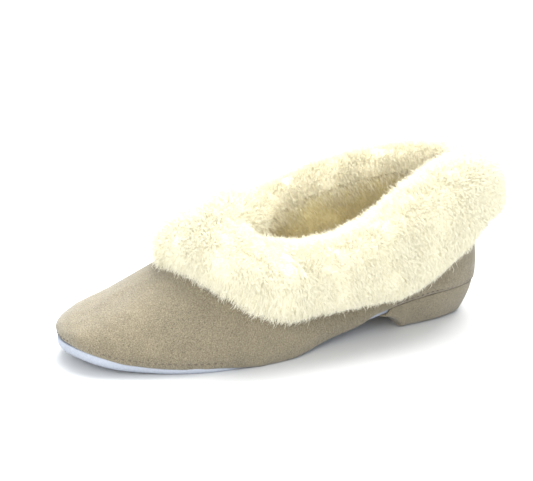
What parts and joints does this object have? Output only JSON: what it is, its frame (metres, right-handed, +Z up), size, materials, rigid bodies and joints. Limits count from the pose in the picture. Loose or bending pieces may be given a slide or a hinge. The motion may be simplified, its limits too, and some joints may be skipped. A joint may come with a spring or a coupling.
{
  "type": "moccasin",
  "caption": "Suede slipper moccasin for the left foot with a leather sole, a low covered heel, a wool lining and a wide wool cuff turned down to a point over the instep.",
  "frame": {"origin": "on the floor, under the middle of the shoe's bounding box", "axes": "+Z up, -Y towards the toe, +Y towards the heel, +X towards the outer side of the foot"},
  "size_m": [0.0998, 0.2654, 0.0946],
  "materials": {
    "suede": "napped suede, dry",
    "sheep_hide": "matt hide side",
    "wool": "curly fleece pile",
    "sole_leather": "smooth pale leather",
    "leatherboard": "matt board",
    "felt": "pressed felt",
    "thread": "waxed thread",
    "steel": "plain",
    "heel_wood": "sawn beech"
  },
  "bodies": {
    "root": {"outsole": "sole_leather", "midsole": "felt", "shank": "steel", "insole_board": "leatherboard", "sock_hide": "sheep_hide", "sock_wool": "wool", "heel_cover": "suede", "heel_block": "heel_wood", "heel_top_piece": "sole_leather", "heel_nail_1": "steel", "heel_nail_2": "steel", "heel_nail_3": "steel", "heel_nail_4": "steel", "heel_nail_5": "steel", "upper": "suede", "heel_counter": "leatherboard", "toe_puff": "leatherboard", "lining_hide": "sheep_hide", "lining_wool": "wool", "cuff_hide": "sheep_hide", "cuff_wool": "wool", "cuff_seam_thread": "thread", "sole_seam_thread": "thread", "heel_seam_thread": "thread"}
  },
  "joints": []
}
